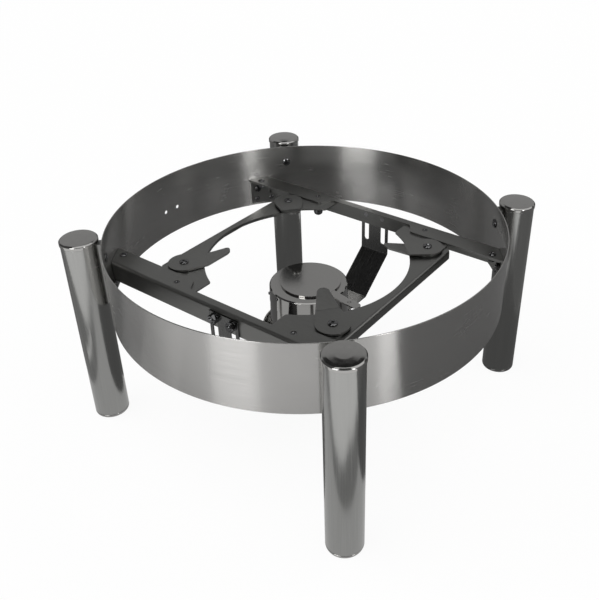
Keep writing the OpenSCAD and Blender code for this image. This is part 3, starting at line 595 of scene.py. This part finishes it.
class STAND_OT_leg_fasteners(bpy.types.Operator):
    """Leg bolts inside the band and their nuts in the tubes"""
    bl_idname = "stand.leg_fasteners"
    bl_label = "Leg bolts and nuts"

    def execute(self, context):
        zinc = finish("zinc_plated_fastener_steel")
        heads, rods, nuts = [], [], []
        for x, y in CORNERS.values():
            angle = corner_angle(45, x, y)
            out = on_radius(angle, 1, 0)
            for z in LEG_BOLT_Z:
                heads.append(aimed(on_radius(angle, LEG_BOLT_SEAT_R, z), [-c for c in out], 20))
                rods.append(aimed(on_radius(angle, LEG_BOLT_SEAT_R, z), out))
                nuts.append(aimed(on_radius(angle, LEG_NUT_R, z), out))
        bolts = joined(placed(screw_head(*BOLT_HEAD, sizes().recess_span), heads),
                       placed(threaded_rod(BOLT_D, LEG_BOLT_LEN, THREAD_LEN), rods))
        finish_piece("leg_bolts_plated", bolts, zinc, "frame", "fastener_steel", "leg_bolts")
        finish_piece("leg_nuts_plated", placed(chamfered_nut(BOLT_D), nuts), zinc, "frame",
                     "fastener_steel", "leg_nuts")
        return {"FINISHED"}


class STAND_OT_rails(bpy.types.Operator):
    """Front and back rails of folded angle"""
    bl_idname = "stand.rails"
    bl_label = "Rails"

    def execute(self, context):
        soft_copies(["rail_front", "rail_back"], finish("rolled_sheet_stainless"),
                    "frame", "sheet_steel")
        return {"FINISHED"}


class STAND_OT_wall_brackets(bpy.types.Operator):
    """Brackets that carry the rails' ends"""
    bl_idname = "stand.wall_brackets"
    bl_label = "Wall brackets"

    def execute(self, context):
        soft_copies(["wall_bracket_" + c for c in CORNERS], finish("rolled_sheet_stainless"),
                    "frame", "sheet_steel")
        return {"FINISHED"}


class STAND_OT_bracket_fasteners(bpy.types.Operator):
    """Bolts, nuts and wall studs of the brackets"""
    bl_idname = "stand.bracket_fasteners"
    bl_label = "Bracket fasteners"

    def execute(self, context):
        zinc = finish("zinc_plated_fastener_steel")
        bolts, rods, nuts, studs, stud_nuts, foot_rivets = [], [], [], [], [], []
        for x, y in CORNERS.values():
            angle = corner_angle(BRACKET_ANGLE, x, y)
            bolts.append(aimed(on_radius(angle, BRACKET_BOLT_R, RAIL_TOP), (0, 0, 1), angle * 3))
            rods.append(aimed(on_radius(angle, BRACKET_BOLT_R, RAIL_TOP), (0, 0, -1)))
            nuts.append(aimed(on_radius(angle, BRACKET_BOLT_R, RAIL_TOP - 4), (0, 0, -1), angle))
            angle = corner_angle(WALL_STUD_ANGLE, x, y)
            inwards = on_radius(angle, -1, 0)
            studs.append(aimed(on_radius(angle, WALL_STUD_R, WALL_STUD_Z), inwards))
            stud_nuts.append(aimed(on_radius(angle, WALL_NUT_R, WALL_STUD_Z), inwards, 12))
            for foot_angle in FOOT_RIVET_ANGLES:
                angle = corner_angle(foot_angle, x, y)
                foot_rivets.append(aimed(on_radius(angle, FOOT_RIVET_R, FOOT_RIVET_Z),
                                         on_radius(angle, -1, 0)))
        head = screw_head(*SMALL_HEAD, sizes().recess_span * 0.8)
        screws = joined(placed(head, bolts),
                        placed(threaded_rod(SMALL_D, BRACKET_BOLT_LEN, THREAD_LEN), rods))
        finish_piece("bracket_bolts_plated", screws, zinc, "frame", "fastener_steel",
                     "bracket_bolts")
        finish_piece("bracket_nuts_plated", placed(chamfered_nut(SMALL_D), nuts), zinc, "frame",
                     "fastener_steel", "bracket_nuts")
        wall_studs = joined(placed(threaded_rod(SMALL_D, WALL_STUD_LEN, THREAD_LEN), studs),
                            placed(domed_rivet(*FOOT_RIVET), foot_rivets))
        finish_piece("wall_studs_plated", wall_studs, zinc, "frame", "fastener_steel", "wall_studs")
        finish_piece("wall_stud_nuts_plated", placed(chamfered_nut(SMALL_D), stud_nuts), zinc,
                     "frame", "fastener_steel", "wall_stud_nuts")
        return {"FINISHED"}


class STAND_OT_arms(bpy.types.Operator):
    """Left and right arms with their flange and hem"""
    bl_idname = "stand.arms"
    bl_label = "Arms"

    def execute(self, context):
        soft_copies(["arm_left", "arm_right"], finish("rolled_sheet_stainless"),
                    "frame", "sheet_steel")
        return {"FINISHED"}


class STAND_OT_gussets(bpy.types.Operator):
    """Corner plates under the rails"""
    bl_idname = "stand.gussets"
    bl_label = "Gussets"

    def execute(self, context):
        soft_copies(["gusset_" + c for c in CORNERS], finish("rolled_sheet_stainless"),
                    "frame", "sheet_steel")
        return {"FINISHED"}


class STAND_OT_posts(bpy.types.Operator):
    """Turned posts with domed ends, riveted flush into the rails"""
    bl_idname = "stand.posts"
    bl_label = "Gusset posts"

    def execute(self, context):
        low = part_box("gusset_posts")[0].z / MM
        bm = turned_shape([(0, low), (3.2, low + 0.25), (5.2, low + 1.9), (6, low + 4.2),
                           (6, POST_SHOULDER_Z), (2.9, POST_SHOULDER_Z), (2.9, RAIL_TOP - 0.2),
                           (2.2, RAIL_TOP - 0.2), (0, RAIL_TOP - 2.2)],
                          steps=48, soften=0.0006, closed=False, segments=4)
        places = [Matrix.Translation((x * POST[0] * MM, y * POST[1] * MM, 0))
                  for x, y in CORNERS.values()]
        finish_piece("gusset_posts_turned", placed(bm, places),
                     finish("zinc_plated_fastener_steel"), "frame", "fastener_steel",
                     "gusset_posts")
        return {"FINISHED"}


class STAND_OT_pan_lugs(bpy.types.Operator):
    """Swivelling lugs that carry the pan's rim"""
    bl_idname = "stand.pan_lugs"
    bl_label = "Pan lugs"

    def execute(self, context):
        soft_copies(["pan_lug_" + c for c in CORNERS], finish("rolled_sheet_stainless"),
                    {"pan_lug_" + c: "lug_" + c for c in CORNERS}, "sheet_steel",
                    width=0.0004, segments=3)
        return {"FINISHED"}


class STAND_OT_pivot_fasteners(bpy.types.Operator):
    """Pivot bolts, washers and nuts of the lugs"""
    bl_idname = "stand.pivot_fasteners"
    bl_label = "Pivot fasteners"

    def execute(self, context):
        zinc = finish("zinc_plated_fastener_steel")
        heads, rods, washers, nuts = [], [], [], []
        for i, (x, y) in enumerate(CORNERS.values()):
            px, py = x * PIVOT[0], y * PIVOT[1]
            heads.append(aimed((px, py, LUG_HEAD_Z), (0, 0, 1), (25, 70, 10, 50)[i]))
            rods.append(aimed((px, py, LUG_ROD_Z), (0, 0, -1)))
            washers.append(aimed((px, py, LUG_WASHER_Z)))
            nuts.append(aimed((px, py, ARM_BOTTOM), (0, 0, -1), 17 * i))
        head = screw_head(*BOLT_HEAD, sizes().recess_span)
        screws = joined(placed(head, heads),
                        placed(threaded_rod(BOLT_D, PIVOT_BOLT_LEN, PIVOT_THREAD_LEN), rods))
        finish_piece("pivot_bolts_plated", screws, zinc, "frame", "fastener_steel", "pivot_bolts")
        finish_piece("pivot_washers_plated", placed(flat_washer(*PIVOT_WASHER), washers), zinc,
                     "frame", "fastener_steel", "pivot_washers")
        finish_piece("pivot_nuts_plated", placed(chamfered_nut(BOLT_D), nuts), zinc, "frame",
                     "fastener_steel", "pivot_nuts")
        return {"FINISHED"}


class STAND_OT_hanger(bpy.types.Operator):
    """Slotted U-shaped hanger strap"""
    bl_idname = "stand.hanger"
    bl_label = "Hanger strap"

    def execute(self, context):
        soft_copies(["hanger_strap"], finish("bent_strap_stainless"), "hanger", "strap_steel")
        return {"FINISHED"}


class STAND_OT_hanger_fasteners(bpy.types.Operator):
    """Studs, washers and nuts that clamp the hanger"""
    bl_idname = "stand.hanger_fasteners"
    bl_label = "Hanger fasteners"

    def execute(self, context):
        zinc = finish("zinc_plated_fastener_steel")
        studs, washers, nuts = [], [], []
        for side_y in (-1, 1):
            for side_x in (-1, 1):
                way = (0, side_y, 0)
                x = side_x * STUD_X
                studs.append(aimed((x, side_y * STUD_ROOT_Y, STUD_Z), way))
                washers.append(aimed((x, side_y * STUD_WASHER_Y, STUD_Z), way))
                nuts.append(aimed((x, side_y * STUD_NUT_Y, STUD_Z), way, 11 + 20 * side_x))
        rods = placed(threaded_rod(BOLT_D, HANGER_STUD_LEN, THREAD_LEN), studs)
        finish_piece("hanger_studs_plated", rods, zinc, "frame", "fastener_steel", "hanger_studs")
        finish_piece("hanger_washers_plated", placed(flat_washer(*HANGER_WASHER), washers), zinc,
                     "frame", "fastener_steel", "hanger_washers")
        finish_piece("hanger_nuts_plated", placed(chamfered_nut(BOLT_D), nuts), zinc, "frame",
                     "fastener_steel", "hanger_nuts")
        return {"FINISHED"}


class STAND_OT_tray(bpy.types.Operator):
    """Drip tray with a rolled rim, and its two rivets"""
    bl_idname = "stand.tray"
    bl_label = "Drip tray"

    def execute(self, context):
        floor, wall, ends = HANGER_FLOOR, TRAY_R, (-TRAY_RIVET_Y, TRAY_RIVET_Y)
        turns = [radians(d) for d in range(-150, 175, 30)]
        bead = [(wall + 0.8 + 1.8 * cos(a), floor + 3.5 + 1.8 * sin(a)) for a in turns]
        bm = turned_shape([(0, floor), (wall, floor), (wall, floor + 2.1)] + bead
                          + [(wall - 1, floor + 3.4), (wall - 1, floor + 1), (0, floor + 1)],
                          steps=96, soften=0.0003, closed=False)
        finish_piece("drip_tray_spun", bm, finish("spun_burner_stainless"), "hanger",
                     "sheet_steel", "burner_tray")
        above = [aimed((0, y, floor + 1)) for y in ends]
        below = [aimed((0, y, floor - 1.5), (0, 0, -1)) for y in ends]
        rivets = joined(placed(domed_rivet(*TRAY_RIVET), above),
                        placed(domed_rivet(*TRAY_RIVET), below))
        finish_piece("tray_rivets_domed", rivets, finish("zinc_plated_fastener_steel"), "hanger",
                     "fastener_steel", "tray_rivets")
        return {"FINISHED"}


class STAND_OT_burner(bpy.types.Operator):
    """Burner housing, its drawn base, the fuel cup and the wall rivets"""
    bl_idname = "stand.burner"
    bl_label = "Burner"

    def execute(self, context):
        z = BURNER_Z
        spun = finish("spun_burner_stainless")
        lap, top = z + HOUSING_H - COVER_H, z + HOUSING_H
        shell = turned_shape([(46.5, z), (47.5, z), (46.2, lap), (46.65, lap), (46.1, top - 1.2),
                              (44.6, top), (32.2, top), (32, top - 1), (43.6, top - 1),
                              (44.5, top - 1.8)], steps=96, soften=0.0003)
        finish_piece("burner_housing_spun", shell, spun, "burner", "polished_steel",
                     "burner_housing")
        base = turned_shape([(0, z + 3), (39, z + 3), (39, z), (46, z), (46, z + 8), (45, z + 8),
                             (45, z + 1), (40, z + 1), (40, z + 4), (0, z + 4)],
                            steps=96, soften=0.0004, closed=False)
        finish_piece("burner_base_drawn", base, spun, "burner", "polished_steel", "burner_base")
        cup = turned_shape([(0, z + 4), (38, z + 4), (38, z + 52), (37, z + 52), (37, z + 5),
                            (0, z + 5)], steps=96, soften=0.0004, closed=False)
        finish_piece("fuel_cup_drawn", cup, spun, "burner", "polished_steel", "fuel_cup")
        # Each rivet by its angle and its distance below the top, on a wall that widens downwards
        rivets = placed(domed_rivet(*HOUSING_RIVET), [
            aimed(on_radius(a, 46.05 + 0.033 * drop, top - drop), on_radius(a, 1, 0))
            for a, drop in ((222, 12), (255, 5))])
        finish_piece("housing_rivets_domed", rivets, finish("zinc_plated_fastener_steel"), "burner",
                     "fastener_steel", "housing_rivets")
        return {"FINISHED"}


class STAND_OT_lid(bpy.types.Operator):
    """Snuffer lid with its turned-up handle"""
    bl_idname = "stand.lid"
    bl_label = "Snuffer lid"

    def execute(self, context):
        soft_copies(["burner_lid"], finish("spun_burner_stainless"), "lid", "polished_steel")
        return {"FINISHED"}


def flag(name, bm, shade):
    """A card that only reflections show: a dark one is a flag, a bright one a painted softbox
    highlight that lights nothing.
    """
    mesh = bpy.data.meshes.new(name)
    bm.to_mesh(mesh)
    bm.free()
    material = bpy.data.materials.new(name)
    material.use_nodes = True
    tree = material.node_tree
    tree.nodes.clear()
    glow = add_node(tree, "ShaderNodeEmission",
                    {"Color": (shade, shade, shade, 1), "Strength": 1.0})
    add_node(tree, "ShaderNodeOutputMaterial", (), {"Surface": glow.outputs[0]})
    mesh.materials.append(material)
    obj = bpy.data.objects.new(name, mesh)
    bpy.context.scene.collection.objects.link(obj)
    obj.visible_camera = obj.visible_diffuse = obj.visible_shadow = obj.visible_transmission = False


def floor_flag(name, corners, shade, level=0.5):
    """A flag on the floor, its corners given as (angle, reach in mm) about the stand's axis."""
    bm = bmesh.new()
    points = [bm.verts.new(Vector(on_radius(angle, reach, level)) * MM) for angle, reach in corners]
    edges = [bm.edges.new((a, b)) for a, b in zip(points, points[1:] + points[:1])]
    bmesh.ops.edgeloop_fill(bm, edges=edges)
    flag(name, bm, shade)


def upright_flag(name, reach, start, sweep, low, high, shade):
    """A flag that stands about the object: a band at a reach in mm, between two heights."""
    bm = bmesh.new()
    turn = Matrix.Rotation(radians(start), 4, "Z")
    ends = [bm.verts.new(turn @ Vector((reach * MM, 0, z * MM))) for z in (low, high)]
    bmesh.ops.spin(bm, geom=ends + [bm.edges.new(ends)], cent=(0, 0, 0), axis=(0, 0, 1),
                   angle=radians(sweep), steps=max(2, int(sweep / 4)))
    flag(name, bm, shade)


class STAND_OT_stage(bpy.types.Operator):
    """Camera, floor, soft lamps and flags"""
    bl_idname = "stand.stage"
    bl_label = "Stage"

    @staticmethod
    def seen(tree):
        """1 for camera, glossy and transmission rays."""
        ray = add_node(tree, "ShaderNodeLightPath").outputs
        seen = add_node(tree, "ShaderNodeMath", (),
                        {0: ray["Is Camera Ray"], 1: ray["Is Glossy Ray"]}, operation="MAXIMUM")
        return add_node(tree, "ShaderNodeMath", (),
                        {0: seen.outputs[0], 1: ray["Is Transmission Ray"]},
                        operation="MAXIMUM").outputs[0]

    def execute(self, context):
        scene = context.scene
        scene.view_settings.view_transform = "Standard"
        turn, tip, roll = radians(CAMERA_TURN), radians(CAMERA_TIP), radians(CAMERA_ROLL)
        back = Vector((sin(turn) * cos(tip), -cos(turn) * cos(tip), sin(tip)))
        level = Vector((cos(turn), sin(turn), 0))
        upright = back.cross(level)
        right = level * cos(roll) + upright * sin(roll)
        up = upright * cos(roll) - level * sin(roll)
        lens = bpy.data.cameras.new("photo_camera")
        lens.lens, lens.sensor_width = CAMERA_LENS, CAMERA_SENSOR
        lens.shift_x, lens.shift_y = CAMERA_SHIFT
        camera = bpy.data.objects.new("photo_camera", lens)
        camera.matrix_world = Matrix((
            (right.x, up.x, back.x, CAMERA_AT[0]), (right.y, up.y, back.y, CAMERA_AT[1]),
            (right.z, up.z, back.z, CAMERA_AT[2]), (0, 0, 0, 1)))
        scene.collection.objects.link(camera)
        scene.camera = camera

        bm = bmesh.new()
        bmesh.ops.create_grid(bm, x_segments=1, y_segments=1, size=8.0)
        bmesh.ops.translate(bm, vec=(0, 0, -0.0002), verts=bm.verts)
        mesh = bpy.data.meshes.new("studio_floor")
        bm.to_mesh(mesh)
        bm.free()
        floor = bpy.data.objects.new("studio_floor", mesh)
        scene.collection.objects.link(floor)
        paint = bpy.data.materials.new("matte_floor_paint")
        paint.use_nodes = True
        tree = paint.node_tree
        shader = tree.nodes["Principled BSDF"]
        shader.inputs["Base Color"].default_value = linear(colours().floor)
        shader.inputs["Roughness"].default_value = 0.9
        shader.inputs["Specular IOR Level"].default_value = 0.1
        # Seen straight or in metal, the floor is lifted towards white, and the shadow stays soft
        seen = self.seen(tree)
        lift = add_node(tree, "ShaderNodeMath", {1: FLOOR_LIFT}, {0: seen}, operation="MULTIPLY")
        white = add_node(tree, "ShaderNodeEmission", {"Color": WHITE, "Strength": 1.0})
        lifted = add_node(tree, "ShaderNodeMixShader", (),
                          {0: lift.outputs[0], 1: shader.outputs[0], 2: white.outputs[0]})
        tree.links.new(lifted.outputs[0], tree.nodes["Material Output"].inputs["Surface"])
        mesh.materials.append(paint)

        world = bpy.data.worlds.new("studio")
        scene.world = world
        world.use_nodes = True
        tree = world.node_tree
        tree.nodes.clear()
        seen = self.seen(tree)
        fill = add_node(tree, "ShaderNodeBackground", {"Color": WHITE, "Strength": WORLD_FILL})
        white = add_node(tree, "ShaderNodeBackground", {"Color": WHITE, "Strength": 1.0})
        mixed = add_node(tree, "ShaderNodeMixShader", (),
                         {0: seen, 1: fill.outputs[0], 2: white.outputs[0]})
        add_node(tree, "ShaderNodeOutputWorld", (), {"Surface": mixed.outputs[0]})

        for name, way, strength, angle in (("key_lamp", (-0.35, -0.45, 1.0), 1.5, 60),
                                           ("fill_lamp", (0.8, 0.5, 1.2), 0.6, 80)):
            lamp = bpy.data.lights.new(name, "SUN")
            lamp.energy, lamp.angle = strength, radians(angle)
            obj = bpy.data.objects.new(name, lamp)
            obj.matrix_world = aimed((0, 0, 1000), way)
            obj.visible_glossy = False
            scene.collection.objects.link(obj)

        # Painted shade: a dark card, seen only in reflections, for the floor in shade under and
        # behind the stand
        floor_flag("under_flag", [(a, 195) for a in range(-150, -21, 6)] + [(-21, 195)]
                   + [(a, 400) for a in range(-21, 211, 7)], 0.14)
        floor_flag("step_flag", [(a, 196) for a in range(-150, -21, 6)] + [(-21, 196), (-21, 330)]
                   + [(a, 330) for a in range(-27, -151, -6)], 0.62)
        floor_flag("front_flag", [(a, 330) for a in range(-21, -151, -6)]
                   + [(-150, 330), (-150, 900), (-135, 700), (-125, 560), (-113, 445), (-92, 398),
                      (-77, 372), (-62, 380), (-49, 398), (-40, 425), (-17, 432), (-17, 401),
                      (-21, 401)], 0.30)
        floor_flag("left_slip", [(a, 382) for a in range(-132, -107, 6)]
                   + [(a, 408) for a in range(-108, -133, -6)], 0.9, level=0.9)
        floor_flag("right_flag", [(a, 401) for a in range(-15, 105, 8)]
                   + [(103, 1500), (45, 2000), (-15, 1500)], 0.20)
        floor_flag("left_flag", [(a, 401) for a in range(-150, -255, -8)]
                   + [(-254, 1500), (-225, 1500), (-190, 1500), (-150, 1500)], 0.22)
        # Standing flags, and between them two bright cards that light nothing and only paint
        # softbox highlights into the reflections on the inside of the band
        for name, start, sweep, high in (("east_flag", -12, 72, 900), ("south_flag", -76, 56, 2400),
                                         ("west_flag", -165, 67, 2400)):
            upright_flag(name, FLAG_REACH, start, sweep, 2, high, 0.10)
        upright_flag("north_flag", FLAG_REACH, 60, 135, 2, 450, 0.10)
        # Painted highlights: glowing cards, seen only in reflections, that cast no light
        upright_flag("wide_softbox", GLINT_CARD_REACH, -98, 22, 20, 1500, 5.5)
        upright_flag("thin_softbox", GLINT_CARD_REACH, -20, 8, 20, 1500, 7.0)
        # A small flag, nearer, that shows as the dark patch on the lid
        upright_flag("lid_flag", 1580, 129.4, 2.6, 900, 1165, 0.03)
        # Above the north flag, a mid grey wall and then a dark one, which show in the flat tops
        upright_flag("back_flag", FLAG_REACH, 60, 135, 450, 1790, 0.42)
        upright_flag("top_flag", FLAG_REACH, 60, 190, 1790, 6000, 0.03)
        return {"FINISHED"}


class STAND_PT_panel(bpy.types.Panel):
    """Lists the stand's pieces"""
    bl_idname = "STAND_PT_panel"
    bl_label = "Chafing dish stand"
    bl_space_type = "VIEW_3D"
    bl_region_type = "UI"
    bl_category = "Stand"

    def draw(self, context):
        for group in (context.scene.stand_sizes, context.scene.stand_colours):
            box = self.layout.box()
            for name in group.bl_rna.properties.keys():
                if name not in ("rna_type", "name"):
                    box.prop(group, name)
        for operator in OPERATORS:
            self.layout.operator(operator.bl_idname)


OPERATORS = (
    STAND_OT_stage, STAND_OT_band, STAND_OT_legs, STAND_OT_caps, STAND_OT_feet, STAND_OT_spacers,
    STAND_OT_leg_fasteners, STAND_OT_rails, STAND_OT_wall_brackets, STAND_OT_bracket_fasteners,
    STAND_OT_arms, STAND_OT_gussets, STAND_OT_posts, STAND_OT_pan_lugs, STAND_OT_pivot_fasteners,
    STAND_OT_hanger, STAND_OT_hanger_fasteners, STAND_OT_tray, STAND_OT_burner, STAND_OT_lid,
)
CLASSES = (StandSizes, StandColours) + OPERATORS + (STAND_PT_panel,)


def register():
    for cls in CLASSES:
        bpy.utils.register_class(cls)
    bpy.types.Scene.stand_sizes = bpy.props.PointerProperty(type=StandSizes)
    bpy.types.Scene.stand_colours = bpy.props.PointerProperty(type=StandColours)


def unregister():
    del bpy.types.Scene.stand_colours
    del bpy.types.Scene.stand_sizes
    for cls in reversed(CLASSES):
        bpy.utils.unregister_class(cls)


def main():
    register()
    for operator in OPERATORS:
        group, name = operator.bl_idname.split(".")
        getattr(getattr(bpy.ops, group), name)()


if __name__ == "__main__":
    main()
